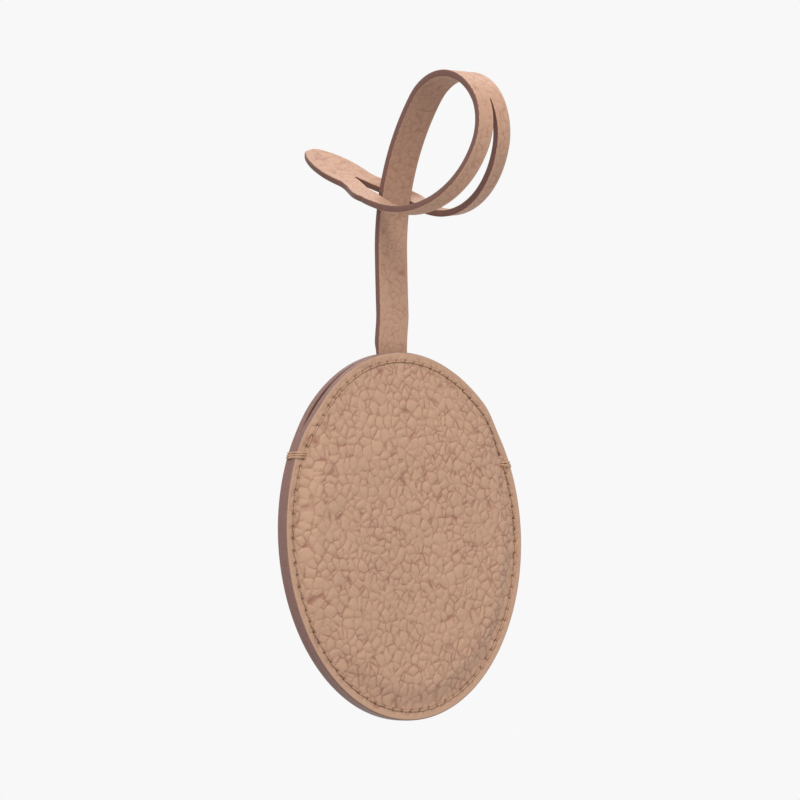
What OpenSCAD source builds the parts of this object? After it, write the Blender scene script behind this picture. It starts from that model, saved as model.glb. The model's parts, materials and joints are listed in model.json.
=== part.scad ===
// Slim oval leather pouch for a flat radio tracker, hung from a slit loop strap.
// Front of the pouch faces -Y, +Z is up, and the origin is the inside top of the strap loop.

/* [Pouch] */
// Width of the oval pouch across its cut edges
tag_w = 79; // [65:0.5:95]
// Height of the oval pouch from top edge to bottom edge
tag_h = 92; // [76:0.5:110]
// Thickness of each outer leather
leather_t = 1.15; // [0.8:0.05:1.6]
// Thickness of each lining
lining_t = 0.55; // [0.4:0.05:0.9]
// Height of the bend line of the mouth above the pouch middle
mouth_z = 19.2; // [14:0.1:24]
// Distance of the stitch line from the cut edge
seam_inset = 2.35; // [1.8:0.05:3.5]
// Width of the shoulder where the sewn edge opens into the pocket
shoulder_w = 6.1; // [4:0.1:8]

/* [Stitching] */
// Distance from one stitch to the next
stitch_pitch = 2.95; // [2:0.05:4]
// Thickness of the sewing thread
thread_t = 0.5; // [0.3:0.05:0.8]
// Bare gap between two stitches
stitch_gap = 0.75; // [0.4:0.05:1.2]

/* [Strap] */
// Width of the strap
strap_w = 9.8; // [7:0.1:12]
// Thickness of the strap, both plies together
strap_t = 1.7; // [1.2:0.05:2.2]
// Length of the stem above the pouch
stem_l = 24; // [20:0.5:40]
// Lean of the stem in degrees
stem_turn = 2.6; // [0:0.1:8]
// Length of the rising side of the loop
rise_l = 40.8; // [24:0.1:48]
// Bend of the rising side in degrees
rise_turn = 39.8; // [20:0.1:50]
// Length over the top of the loop
crown_l = 20.1; // [16:0.1:32]
// Bend over the top in degrees
crown_turn = 84.6; // [60:0.1:100]
// Length of the front side of the loop
front_l = 18.5; // [10:0.1:24]
// Bend of the front side in degrees
front_turn = 74.7; // [55:0.1:95]
// Length of the lower side of the loop
under_l = 39.3; // [26:0.1:46]
// Bend of the lower side in degrees
under_turn = 99; // [80:0.1:110]
// Length of the tongue from the loop to its tip
tongue_l = 31; // [26:0.5:45]
// Bend of the tongue in degrees
tongue_turn = 3.9; // [0:0.1:20]
// Length of the rounded end of the tongue
tip_l = 11; // [6:0.5:16]
// Distance along the strap to the start of the slit
slit_start = 92; // [80:0.5:105]
// Length of the slit
slit_l = 67; // [55:0.5:80]
// Width of the cut itself where the slit is shut
slit_cut = 0.3; // [0.2:0.05:0.6]
// Free space left at each side of the stem inside the slit
slit_play = 0.35; // [0.2:0.05:1]
// How far the tongue leans towards -X at its tip
tongue_drift = 8; // [0:0.5:12]
// Tip of the tongue about its own length in degrees
tongue_roll = 12; // [0:1:20]
// Tip of each side of the slit about its own length in degrees
leg_roll = 10; // [0:1:16]

/* [Strap anchor] */
// Thickness of the pared strap end inside the back of the pouch
anchor_t = 0.45; // [0.3:0.05:0.6]
// Depth of the strap end inside the pouch
anchor_l = 14; // [9:0.5:20]
// Height of the strap's bend above the pouch edge
bend_rise = 1.4; // [1.2:0.1:3]

/* [Tracker] */
// Diameter of the tracker disc
tracker_d = 53; // [40:0.5:56]
// Thickness of the tracker disc
tracker_t = 2.0; // [1.8:0.05:3]
// Free space between the tracker and each lining
pocket_play = 0.15; // [0.1:0.05:0.4]
// Height of the tracker's middle, measured from the pouch middle
tracker_z = -9.8; // [-14:0.1:-6]
// Wall of the tracker's shells
shell_t = 0.28; // [0.2:0.02:0.5]
// Wall of the tracker's rim
rim_t = 0.8; // [0.6:0.05:1.4]
// Diameter of the flat coin cell
cell_d = 24.5; // [20:0.1:25]
// Thickness of the flat coin cell
cell_t = 1.2; // [1:0.05:1.6]
// Height of the coin cell below the tracker's middle
cell_drop = 8; // [5:0.5:9]
// Diameter of the pairing button
button_d = 8; // [6:0.1:10]
// Height of the pairing button above the tracker's middle
button_z = 14.5; // [12:0.5:16]
// Thickness of the circuit board
board_t = 0.4; // [0.3:0.05:0.6]

/* [Hidden] */
$fn = 48;
a = tag_w / 2;
b = tag_h / 2;
ply_gap = 0.03;
rest_gap = 0.02;
wall = lining_t + leather_t + ply_gap;
back_crown = 0.35;
front_crown = tracker_t + 2 * pocket_play - back_crown;
lip_crown = 0.12;
split = 0.36;
tracker_y = back_crown - pocket_play - tracker_t / 2;
stitch_h = 0.3;
lift = 0.06;
lip_lift = 0.2;

// Mouth bend axis on the outside of the front leather
flex_y = -(front_crown + wall);

// Strap path: a chain of arcs, each state is y, z and heading in degrees from +Z towards -Y
bend_y = back_crown + lining_t + ply_gap + 0.57;
bend_z = b + bend_rise;
roll_r = strap_t / 2 - 0.05;
p0 = [bend_y, bend_z, 0];
p1 = run(p0, stem_l, stem_turn);
p2 = run(p1, rise_l, rise_turn);
p3 = run(p2, crown_l, crown_turn);
p4 = run(p3, front_l, front_turn);
p5 = run(p4, under_l, under_turn);
l1 = stem_l;
l2 = l1 + rise_l;
l3 = l2 + crown_l;
l4 = l3 + front_l;
l5 = l4 + under_l;
l6 = l5 + tongue_l;

function run(p, l, t) =
  abs(t) < 0.001 ? [p[0] - l * sin(p[2]), p[1] + l * cos(p[2]), p[2]] :
  let (r = l / (t * PI / 180))
  [p[0] + r * (cos(p[2] + t) - cos(p[2])), p[1] + r * (sin(p[2] + t) - sin(p[2])), p[2] + t];

function part_of(p, l, t, s) = run(p, s, t * s / l);

function at(s) =
  s < l1 ? part_of(p0, stem_l, stem_turn, s) :
  s < l2 ? part_of(p1, rise_l, rise_turn, s - l1) :
  s < l3 ? part_of(p2, crown_l, crown_turn, s - l2) :
  s < l4 ? part_of(p3, front_l, front_turn, s - l3) :
  s < l5 ? part_of(p4, under_l, under_turn, s - l4) :
  part_of(p5, tongue_l, tongue_turn, s - l5);

// Inside top of the loop, where the strap hangs, is the origin
crown_s = l2 + crown_l * (90 - stem_turn - rise_turn) / crown_turn;
crown = at(crown_s);
hang = [0, crown[0], crown[1] - strap_t / 2];

// Where the lower side of the loop crosses the stem
cross_list = [for (s = [l5 - 6 : 0.5 : l5 + 24]) for (t = [l1 : 1 : l2]) [norm(flat(at(s)) - flat(at(t))), s]];
cross_best = min([for (c = cross_list) c[0]]);
cross_s = [for (c = cross_list) if (c[0] <= cross_best) c[1]][0];

function flat(p) = [p[0], p[1]];

slit_end = slit_start + slit_l;
slit_open = strap_w / 2 + slit_play - slit_cut / 2;

function slit_bump(s) =
  s <= slit_start || s >= slit_end ? 0 :
  s < cross_s ? pow(sin(90 * (s - slit_start) / (cross_s - slit_start)), 1.7) :
  pow(cos(90 * (s - cross_s) / (slit_end - cross_s)), 1.1);

function half_in(s) = slit_cut / 2 + slit_open * slit_bump(s);

function half_out(s) =
  let (u = (s - (l6 - tip_l)) / tip_l)
  (u <= 0 ? strap_w / 2 : strap_w / 2 * sqrt(max(0, 1 - u * u))) + slit_open * slit_bump(s);

// Lean and roll of the leather, growing from the crossing to the tip
function past(s) = max(0, min(1, (s - cross_s) / (l6 - cross_s)));

function drift_at(s) = -tongue_drift * pow(past(s), 1.15);

function roll_at(s, x) =
  let (u = max(0, min(1, (s - slit_start) / (cross_s - slit_start))))
  -tongue_roll * past(s) - leg_roll * sin(180 * u) * sign(x);

// Stations along the strap, closer together at the slit's ends and the tip
n_a = 44;
n_b = 32;
n_c = 5;
n_t = 7;
first_s = roll_r + 0.1;
st = concat(
  [for (i = [0 : n_a - 1]) first_s + (slit_start - first_s) * i / n_a],
  [for (i = [0 : n_b - 1]) slit_start + slit_l * i / n_b],
  [for (i = [0 : n_c - 1]) slit_end + (l6 - tip_l - slit_end) * i / n_c],
  [for (i = [0 : n_t - 1]) l6 - tip_l + tip_l * sin(84 * i / (n_t - 1))]
);
n_st = len(st);
i_a = n_a;
i_b = n_a + n_b;

// Pouch surfaces
function soft(u) = let (v = max(0, min(1, u))) v * v * (3 - 2 * v);

function ray_out(x, z) = a * b / sqrt(pow(b * x, 2) + pow(a * z, 2));

function rim_d(x, z) = norm([x, z]) < 0.001 ? a : (ray_out(x, z) - 1) * norm([x, z]);

mouth_x = a * sqrt(1 - pow(mouth_z / b, 2));

function sewn_d(x, z) =
  let (k = max(0, min(1, (z - mouth_z + 4) / 8)))
  (1 - k) * rim_d(x, z) + k * (mouth_x - abs(x));

function rise_at(x, z) = soft((sewn_d(x, z) - seam_inset - 0.55) / shoulder_w);

function front_top(z) =
  z < mouth_z ? front_crown : front_crown + (lip_crown - front_crown) * (z - mouth_z) / (b - mouth_z);

function front_in(x, z) = rest_gap + (front_top(z) - rest_gap) * rise_at(x, z);

function back_in(x, z) = rest_gap + (back_crown - rest_gap) * rise_at(x, z);

function skin(side, x, z, d) = side < 0 ? -(front_in(x, z) + d) : back_in(x, z) + d;

n_col = 20;

// A curved sheet between two heights, from depth d0 to depth d1 outside the pocket
module sheet(side, t0, t1, rows, d0, d1) {
  row = n_col + 1;
  half = (rows + 1) * row;
  pts = [
    for (d = [d0, d1])
      for (j = [0 : rows])
        for (i = [0 : n_col])
          let (t = t0 + (t1 - t0) * j / rows, z = b * sin(t), x = a * cos(t) * sin(-90 + 180 * i / n_col))
          [x, skin(side, x, z, d), z]
  ];
  quads = concat(
    [for (j = [0 : rows - 1]) for (i = [0 : n_col - 1])
      [j * row + i, (j + 1) * row + i, (j + 1) * row + i + 1, j * row + i + 1]],
    [for (j = [0 : rows - 1]) for (i = [0 : n_col - 1])
      [half + j * row + i, half + j * row + i + 1, half + (j + 1) * row + i + 1, half + (j + 1) * row + i]],
    [for (i = [0 : n_col - 1]) [i, i + 1, half + i + 1, half + i]],
    [for (i = [0 : n_col - 1])
      [rows * row + i + 1, rows * row + i, half + rows * row + i, half + rows * row + i + 1]],
    [for (j = [0 : rows - 1]) [(j + 1) * row, j * row, half + j * row, half + (j + 1) * row]],
    [for (j = [0 : rows - 1])
      [j * row + n_col, (j + 1) * row + n_col, half + (j + 1) * row + n_col, half + j * row + n_col]]
  );
  polyhedron(points = pts, faces = tris(side < 0 ? quads : turned(quads)), convexity = 6);
}

function turned(q) = [for (f = q) [f[3], f[2], f[1], f[0]]];

function tris(q) = [for (f = q) for (k = [0, 1]) k == 0 ? [f[0], f[1], f[2]] : [f[0], f[2], f[3]]];

// Height angles of the sheet edges on the oval
t_low = -88.5;
t_top = 88.5;
t_split_lo = asin((mouth_z - split / 2) / b);
t_split_hi = asin((mouth_z + split / 2) / b);

module placed() {
  translate(-hang) children();
}

module front_panel() {
  color([0.72, 0.56, 0.45]) placed() sheet(-1, t_low, t_split_lo, 16, lining_t + ply_gap, wall);
}

module front_lining() {
  color([0.62, 0.47, 0.37]) placed() sheet(-1, t_low, t_split_lo, 16, 0, lining_t);
}

module mouth_flap() {
  color([0.72, 0.56, 0.45]) placed() sheet(-1, t_split_hi, t_top, 9, lining_t + ply_gap, wall);
}

module mouth_flap_lining() {
  color([0.62, 0.47, 0.37]) placed() sheet(-1, t_split_hi, t_top, 9, 0, lining_t);
}

module back_panel() {
  color([0.70, 0.54, 0.43]) placed() difference() {
    sheet(1, t_low, t_top, 24, lining_t + ply_gap, wall);
    translate([-strap_w / 2 - 0.1, 0, b - anchor_l - 0.1])
      cube([strap_w + 0.2, back_crown + lining_t + 2 * ply_gap + anchor_t + 0.05, anchor_l + 2]);
  }
}

module back_lining() {
  color([0.62, 0.47, 0.37]) placed() sheet(1, t_low, t_top, 24, 0, lining_t);
}

// Pared end of the strap inside the back, and the round bend just above the edge
module strap_anchor() {
  tab_y = back_crown + lining_t + 2 * ply_gap;
  color([0.70, 0.53, 0.44]) placed() union() {
    translate([-strap_w / 2, tab_y, b - anchor_l]) cube([strap_w, anchor_t, anchor_l + bend_rise - 0.3]);
    translate([-strap_w / 2, bend_y, bend_z]) rotate([0, 90, 0]) cylinder(r = roll_r, h = strap_w);
  }
}

// Stitch line on the oval inside the cut edge
sa = a - seam_inset;
sb = b - seam_inset;

function speed(t) = norm([sa * sin(t), sb * cos(t)]) * PI / 180;

function arc_len(t0, t1) =
  let (n = 60)
  let (w = (t1 - t0) / n)
  sum([for (i = [0 : n - 1]) speed(t0 + w * (i + 0.5)) * w]);

function sum(v, i = 0) = i >= len(v) ? 0 : v[i] + sum(v, i + 1);

function steps(t, pitch, n) = n < 0 ? [] : concat([t], steps(t + pitch / speed(t + pitch / speed(t) / 2), pitch, n - 1));

function seam_p(t, side) =
  let (x = sa * cos(t), z = sb * sin(t))
  [x, side * face_out(side, x, z) + side * (lift + stitch_h / 2), z];

// How far the outside of a sheet stands out at x, z, taken on its flat facets
function face_out(side, x, z) =
  side > 0 ? on_rows(side, x, z, t_low, t_top, 24) :
  z < mouth_z ? on_rows(side, x, z, t_low, t_split_lo, 16) : on_rows(side, x, z, t_split_hi, t_top, 9);

function on_rows(side, x, z, t0, t1, rows) =
  let (
    j = max(0, min(rows - 1, floor((asin(z / b) - t0) / (t1 - t0) * rows))),
    ta = t0 + (t1 - t0) * j / rows,
    tb = t0 + (t1 - t0) * (j + 1) / rows,
    f = max(0, min(1, (z - b * sin(ta)) / (b * (sin(tb) - sin(ta)))))
  )
  on_row(side, x, ta) * (1 - f) + on_row(side, x, tb) * f;

function on_row(side, x, t) =
  let (
    w = a * cos(t),
    i = max(0, min(n_col - 1, floor((asin(max(-1, min(1, x / w))) / 180 + 0.5) * n_col))),
    xa = w * sin(-90 + 180 * i / n_col),
    xb = w * sin(-90 + 180 * (i + 1) / n_col),
    f = max(0, min(1, (x - xa) / (xb - xa)))
  )
  side * (skin(side, xa, b * sin(t), wall) * (1 - f) + skin(side, xb, b * sin(t), wall) * f);

// One flat stitch from p to q, raised until all of it clears the leather
module stitch(p, q, side) {
  v = q - p;
  l = norm(v) - stitch_gap;
  m = (p + q) / 2;
  along = v / norm([v[0], v[2]]);
  extra = max([
    for (u = [-0.5 : 0.125 : 0.5]) for (w = [-0.5, 0, 0.5])
      let (x = m[0] + along[0] * u * l - along[2] * w * thread_t, z = m[2] + along[2] * u * l + along[0] * w * thread_t)
      face_out(side, x, z) - side * (m[1] + along[1] * u * l) + stitch_h / 2 + lift
        + (side < 0 && z > mouth_z ? lip_lift : 0)
  ]);
  translate(m + [0, side * max(0, extra), 0])
    rotate([0, -atan2(v[2], v[0]), 0]) rotate([0, 0, atan2(v[1], norm([v[0], v[2]]))])
    cube([l, stitch_h, thread_t], center = true);
}

module stitch_run(t0, t1, side) {
  n = round(arc_len(t0, t1) / stitch_pitch);
  pitch = arc_len(t0, t1) / n;
  ts = steps(t0, pitch, n);
  for (i = [0 : n - 1]) stitch(seam_p(ts[i], side), seam_p(ts[i + 1], side), side);
}

tack_z = mouth_z - 0.85;
t_tack = asin((tack_z - 0.6) / sb);
t_mouth = asin((mouth_z + 0.7) / sb);

module seam_stitches_front() {
  color([0.80, 0.66, 0.53]) placed() stitch_run(180 - t_tack, 360 + t_tack, -1);
}

module seam_stitches_back() {
  color([0.80, 0.66, 0.53]) placed() stitch_run(180 - t_tack, 360 + t_tack, 1);
}

module flap_stitches() {
  color([0.80, 0.66, 0.53]) placed() stitch_run(t_mouth, 180 - t_mouth, -1);
}

module back_rim_stitches() {
  color([0.80, 0.66, 0.53]) placed() stitch_run(t_mouth, 180 - t_mouth, 1);
}

// Two turns of thread round the edge at each end of the mouth
module bartack(side) {
  edge = a * sqrt(1 - pow(tack_z / b, 2)) + 0.35;
  reach = seam_inset + 0.9;
  inner = edge - reach;
  yf = -(max([for (d = [-0.9 : 0.3 : 0.9]) for (x = [inner, inner + 0.4]) face_out(-1, x, tack_z + d)]) + lift + thread_t);
  yb = max([for (d = [-0.9 : 0.3 : 0.9]) for (x = [inner, inner + 0.4]) face_out(1, x, tack_z + d)]) + lift;
  for (k = [-1, 1]) translate([0, 0, tack_z + k * thread_t * 0.62 - thread_t / 2]) {
    translate([side > 0 ? edge - reach : -edge, yf, 0]) cube([reach, thread_t, thread_t]);
    translate([side > 0 ? edge - reach : -edge, yb, 0]) cube([reach, thread_t, thread_t]);
    translate([side > 0 ? edge : -edge - thread_t, yf, 0]) cube([thread_t, yb - yf + thread_t, thread_t]);
  }
}

module bartack_left() {
  color([0.80, 0.66, 0.53]) placed() bartack(-1);
}

module bartack_right() {
  color([0.80, 0.66, 0.53]) placed() bartack(1);
}

// One ply of the strap between two distances from its middle surface
function ply_points(n0, n1) = [
  for (s = st)
    for (n = [n0, n1])
      for (x = [-half_out(s), -half_in(s), half_in(s), half_out(s)])
        let (p = at(s), a = roll_at(s, x), m = x * sin(a) + n * cos(a))
        [drift_at(s) + x * cos(a) - n * sin(a), p[0] + m * cos(p[2]), p[1] + m * sin(p[2])]
];

function id(i, side, c) = i * 8 + side * 4 + c;

function strip(i, c) = [
  [id(i, 1, c), id(i, 1, c + 1), id(i + 1, 1, c + 1), id(i + 1, 1, c)],
  [id(i + 1, 0, c), id(i + 1, 0, c + 1), id(i, 0, c + 1), id(i, 0, c)]
];

function wall_left(i, c) = [[id(i, 0, c), id(i, 1, c), id(i + 1, 1, c), id(i + 1, 0, c)]];

function wall_right(i, c) = turned(wall_left(i, c));

function cap(i, c) = [[id(i, 0, c), id(i, 1, c), id(i, 1, c + 1), id(i, 0, c + 1)]];

function ply_faces() = concat(
  [for (i = [0 : n_st - 2]) for (f = concat(strip(i, 0), strip(i, 2), wall_left(i, 0), wall_right(i, 3))) f],
  [for (i = [0 : n_st - 2]) if (i < i_a || i >= i_b) for (f = strip(i, 1)) f],
  [for (i = [i_a : i_b - 1]) for (f = concat(wall_right(i, 1), wall_left(i, 2))) f],
  cap(i_a, 1),
  turned(cap(i_b, 1)),
  [for (c = [0 : 2]) turned(cap(0, c))[0]],
  [for (c = [0 : 2]) cap(n_st - 1, c)[0]]
);

module ply(n0, n1) {
  polyhedron(points = ply_points(n0, n1), faces = tris(ply_faces()), convexity = 10);
}

module strap_outer_ply() {
  color([0.76, 0.60, 0.49]) placed() ply(ply_gap / 2, strap_t / 2);
}

module strap_inner_ply() {
  color([0.66, 0.49, 0.40]) placed() ply(-strap_t / 2, -ply_gap / 2);
}

// Tracker: its own middle plane is y = 0, front is -Y
tr = tracker_d / 2;
th = tracker_t / 2;
tin = th - shell_t;
cell_y0 = -tin + 0.10;
cell_y1 = cell_y0 + cell_t;
cover_r = cell_d / 2 + 0.9;
wall_r = cell_d / 2 + 0.35;
board_y = -tin + 0.10;
board_top = board_y + board_t;

module in_tracker() {
  placed() translate([0, tracker_y, tracker_z]) children();
}

// A disc or bar lying along Y from y0 to y1, centred on x and z
module disc(x, z, r, y0, y1, fn = 72) {
  translate([x, y0, z]) rotate([-90, 0, 0]) cylinder(r = r, h = y1 - y0, $fn = fn);
}

module block(x, z, w, h, y0, y1) {
  translate([x - w / 2, y0, z - h / 2]) cube([w, y1 - y0, h]);
}

// Shell blank with a rounded outer corner, from the joint plane out to depth th
module shell_blank() {
  rr = 0.6;
  rotate_extrude($fn = 96) union() {
    square([tr - rr, th]);
    square([tr, th - rr]);
    translate([tr - rr, th - rr]) circle(r = rr, $fn = 40);
  }
}

module tracker_front_shell() {
  color([0.93, 0.93, 0.92]) in_tracker() difference() {
    union() {
      difference() {
        rotate([90, 0, 0]) translate([0, 0, 0.01]) intersection() {
          shell_blank();
          translate([0, 0, 0]) cylinder(r = tr + 1, h = th);
        }
        disc(0, 0, tr - rim_t, -tin, 0.5);
      }
      difference() {
        disc(0, -cell_drop, wall_r + 0.9, -tin - 0.01, cell_y1 - 0.18);
        disc(0, -cell_drop, wall_r, -tin - 0.1, th);
        block(0, -cell_drop + wall_r, 4.4, 4, -tin, th);
        block(-wall_r, -cell_drop, 4, 4.4, -tin, th);
      }
    }
    disc(0, button_z, button_d / 2 + 0.2, -th - 1, 0);
  }
}

module tracker_back_shell() {
  color([0.90, 0.90, 0.89]) in_tracker() difference() {
    rotate([-90, 0, 0]) translate([0, 0, 0.01]) intersection() {
      shell_blank();
      translate([0, 0, 0]) cylinder(r = tr + 1, h = th);
    }
    disc(0, 0, tr - rim_t, -0.5, tin);
    disc(0, -cell_drop, cover_r + 0.15, 0, th + 1);
    for (k = [0 : 2]) translate([0, 0, -cell_drop]) rotate([0, 120 * k + 25, 0])
      translate([-2.6, 0, cover_r - 1]) cube([5.2, th + 1, 2.2]);
    for (k = [-1 : 1]) disc(12 + 1.8 * k, 12, 0.4, 0, th + 1, 24);
  }
}

// Stamped cover with three lugs that turn under the back shell
module battery_cover() {
  color([0.78, 0.79, 0.80]) in_tracker() difference() {
    union() {
      disc(0, -cell_drop, cover_r, cell_y1 + 0.02, th - 0.02);
      intersection() {
        disc(0, -cell_drop, cover_r + 0.95, cell_y1 + 0.02, tin - 0.02);
        for (k = [0 : 2]) translate([0, 0, -cell_drop]) rotate([0, 120 * k, 0])
          translate([-2.2, 0, cover_r - 1]) cube([4.4, th, 3]);
      }
    }
    block(0, -cell_drop, 11, 1.8, th - 0.14, th + 1);
  }
}

module coin_cell() {
  color([0.80, 0.80, 0.78]) in_tracker() union() {
    disc(0, -cell_drop, cell_d / 2 - 0.8, cell_y0, cell_y0 + 0.2);
    disc(0, -cell_drop, cell_d / 2, cell_y0 + 0.2, cell_y1);
  }
}

module contact_negative() {
  color([0.86, 0.74, 0.42]) in_tracker() union() {
    disc(0, -cell_drop, 5, -tin + 0.01, -tin + 0.08);
    block(0, -cell_drop + wall_r / 2 + 0.6, 3.4, wall_r + 1.2, -tin + 0.01, -tin + 0.08);
  }
}

module contact_positive() {
  r = cell_d / 2 + 0.04;
  color([0.86, 0.74, 0.42]) in_tracker() intersection() {
    difference() {
      disc(0, -cell_drop, r + 0.25, -0.35, 0.25);
      disc(0, -cell_drop, r, -1, 1);
    }
    block(-r, -cell_drop, 8, 11, -1, 1);
  }
}

module circuit_board() {
  color([0.13, 0.35, 0.22]) in_tracker() difference() {
    disc(0, 0, tr - rim_t - 0.4, board_y, board_top);
    disc(0, -cell_drop, wall_r + 1.2, -th, th);
  }
}

module radio_chip() {
  color([0.12, 0.12, 0.13]) in_tracker() block(-12, 11.5, 5, 5, board_top + 0.02, board_top + 0.55);
}

module timing_crystal() {
  color([0.75, 0.72, 0.60]) in_tracker() block(-7.6, 12.5, 1.6, 2.5, board_top + 0.02, board_top + 0.5);
}

module shield_can() {
  color([0.75, 0.76, 0.77]) in_tracker() difference() {
    block(-11, 12.5, 12, 9, board_top + 0.02, board_top + 0.8);
    block(-11, 12.5, 11.6, 8.6, board_top - 0.1, board_top + 0.65);
  }
}

module antenna() {
  color([0.88, 0.86, 0.80]) in_tracker() block(0, 21.4, 8, 2, board_top + 0.02, board_top + 0.6);
}

module sounder_disc() {
  color([0.84, 0.70, 0.35]) in_tracker() union() {
    disc(12, 12, 5.5, tin - 0.2, tin - 0.02);
    disc(12, 12, 4, tin - 0.34, tin - 0.2);
  }
}

module loop_antenna() {
  color([0.80, 0.48, 0.28]) in_tracker() difference() {
    disc(0, -cell_drop, 17.2, tin - 0.09, tin - 0.02);
    disc(0, -cell_drop, cover_r + 1.6, 0, th);
  }
}

module pairing_button() {
  color([0.85, 0.85, 0.84]) in_tracker() disc(0, button_z, button_d / 2, -th + 0.01, -tin - 0.13);
}

module dome_switch() {
  color([0.74, 0.74, 0.72]) in_tracker() disc(0, button_z, 2.2, -tin - 0.02, board_y - 0.01);
}

front_panel();
front_lining();
mouth_flap();
mouth_flap_lining();
back_panel();
back_lining();
strap_anchor();
seam_stitches_front();
seam_stitches_back();
flap_stitches();
back_rim_stitches();
bartack_left();
bartack_right();
strap_outer_ply();
strap_inner_ply();
tracker_front_shell();
tracker_back_shell();
battery_cover();
coin_cell();
contact_negative();
contact_positive();
circuit_board();
radio_chip();
timing_crystal();
shield_can();
antenna();
sounder_disc();
loop_antenna();
pairing_button();
dome_switch();
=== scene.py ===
import json
import math
import random

import bmesh
import bpy
from mathutils import Matrix, Vector, kdtree, noise


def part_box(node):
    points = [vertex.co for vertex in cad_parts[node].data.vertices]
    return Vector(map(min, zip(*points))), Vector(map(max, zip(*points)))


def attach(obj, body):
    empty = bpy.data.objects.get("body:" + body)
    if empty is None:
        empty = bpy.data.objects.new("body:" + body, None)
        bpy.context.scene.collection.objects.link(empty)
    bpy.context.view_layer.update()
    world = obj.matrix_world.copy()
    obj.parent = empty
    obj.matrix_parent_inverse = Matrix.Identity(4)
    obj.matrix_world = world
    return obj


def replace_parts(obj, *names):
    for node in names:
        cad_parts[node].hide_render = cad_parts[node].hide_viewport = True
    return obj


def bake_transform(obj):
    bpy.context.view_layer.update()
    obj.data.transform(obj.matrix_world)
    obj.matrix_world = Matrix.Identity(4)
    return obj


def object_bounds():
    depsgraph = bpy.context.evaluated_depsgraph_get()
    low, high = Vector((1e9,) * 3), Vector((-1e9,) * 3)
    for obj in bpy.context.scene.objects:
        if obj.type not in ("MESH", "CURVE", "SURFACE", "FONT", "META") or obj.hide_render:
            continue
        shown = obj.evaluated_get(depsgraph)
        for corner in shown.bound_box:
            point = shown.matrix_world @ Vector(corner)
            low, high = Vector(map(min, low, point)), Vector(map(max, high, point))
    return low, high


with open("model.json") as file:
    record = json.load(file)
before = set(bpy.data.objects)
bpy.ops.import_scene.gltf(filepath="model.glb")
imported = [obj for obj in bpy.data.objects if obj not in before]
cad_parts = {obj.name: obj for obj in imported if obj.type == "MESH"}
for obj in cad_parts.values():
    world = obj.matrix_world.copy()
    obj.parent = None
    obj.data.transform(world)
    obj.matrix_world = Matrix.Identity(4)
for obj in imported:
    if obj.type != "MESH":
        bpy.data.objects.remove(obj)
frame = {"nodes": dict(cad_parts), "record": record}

cadLow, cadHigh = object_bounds()
print("frame loaded:", len(frame["nodes"]), "nodes")

backLow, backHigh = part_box("back_lining")
restGap = 0.02  # mm between each wall and the middle of the shut pouch
pouchMiddle = Vector((0, backLow.y - restGap / 1000, (backLow.z + backHigh.z) / 2))

# camera

cameraView = {
    "azimuth": -42.0,
    "elevation": -2.9,
    "roll": -2.54,
    "fromPouch": (-0.50856, -0.56578, -0.00449),
    "lens": 136.638,
    "sensor": 36.0,
}


def addCamera(view):
    turn = math.radians(view["azimuth"])
    tip = math.radians(view["elevation"])
    roll = math.radians(view["roll"])
    back = Vector((math.sin(turn) * math.cos(tip), -math.cos(turn) * math.cos(tip), math.sin(tip)))
    level = Vector((math.cos(turn), math.sin(turn), 0))
    upright = back.cross(level)
    right = level * math.cos(roll) + upright * math.sin(roll)
    up = upright * math.cos(roll) - level * math.sin(roll)
    data = bpy.data.cameras.new("viewCamera")
    data.sensor_width = view["sensor"]
    data.lens = view["lens"]
    data.clip_start = 0.01
    data.clip_end = 60
    camera = bpy.data.objects.new("viewCamera", data)
    axes = Matrix((right, up, back)).transposed().to_4x4()
    camera.matrix_world = Matrix.Translation(pouchMiddle + Vector(view["fromPouch"])) @ axes
    bpy.context.scene.collection.objects.link(camera)
    bpy.context.scene.camera = camera


addCamera(cameraView)
bpy.context.scene.view_settings.view_transform = "Standard"
print("camera placed")

# shared sizes, all in mm from the middle of the pouch

topAngle = math.radians(88.5)  # the CAD sheets stop this far up the oval

pouch = {
    "halfWidth": (backHigh.x - backLow.x) * 500,
    "halfHeight": (backHigh.z - backLow.z) * 500 / math.sin(topAngle),
    "lining": 0.55,
    "plyGap": 0.03,
    "leather": 1.15,
    "mouthHeight": 19.2,
    "seamInset": 2.35,
    "shoulder": 6.1,
    "restGap": restGap,
    "frontCrown": 1.95,
    "lipCrown": 0.12,
    "backCrown": 0.35,
    "edgeRound": 0.42,
    "returnWidth": 0.8,
}
pouch["wall"] = pouch["lining"] + pouch["plyGap"] + pouch["leather"]
seat = Matrix.Translation(pouchMiddle) @ Matrix.Scale(0.001, 4)


def soft(u):
    u = min(max(u, 0.0), 1.0)
    return u * u * (3 - 2 * u)


def rimDistance(x, z):
    reach = math.hypot(x, z)
    if reach < 0.001:
        return pouch["halfWidth"]
    a, b = pouch["halfWidth"], pouch["halfHeight"]
    return (a * b / math.hypot(b * x, a * z) - 1) * reach


mouthHalf = pouch["halfWidth"] * math.sqrt(1 - (pouch["mouthHeight"] / pouch["halfHeight"]) ** 2)


def sewnDistance(x, z):
    share = min(max((z - pouch["mouthHeight"] + 4) / 8, 0.0), 1.0)
    return (1 - share) * rimDistance(x, z) + share * (mouthHalf - abs(x))


def crownAt(side, x, z):
    rise = soft((sewnDistance(x, z) - pouch["seamInset"] - 0.55) / pouch["shoulder"])
    if side > 0:
        top = pouch["backCrown"]
    else:
        up = max(0.0, (z - pouch["mouthHeight"]) / (pouch["halfHeight"] - pouch["mouthHeight"]))
        top = pouch["frontCrown"] + (pouch["lipCrown"] - pouch["frontCrown"]) * up
    return pouch["restGap"] + (top - pouch["restGap"]) * rise


def outwardAt(x, z):
    return Vector((x / pouch["halfWidth"] ** 2, 0, z / pouch["halfHeight"] ** 2)).normalized()


# node helpers


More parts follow.
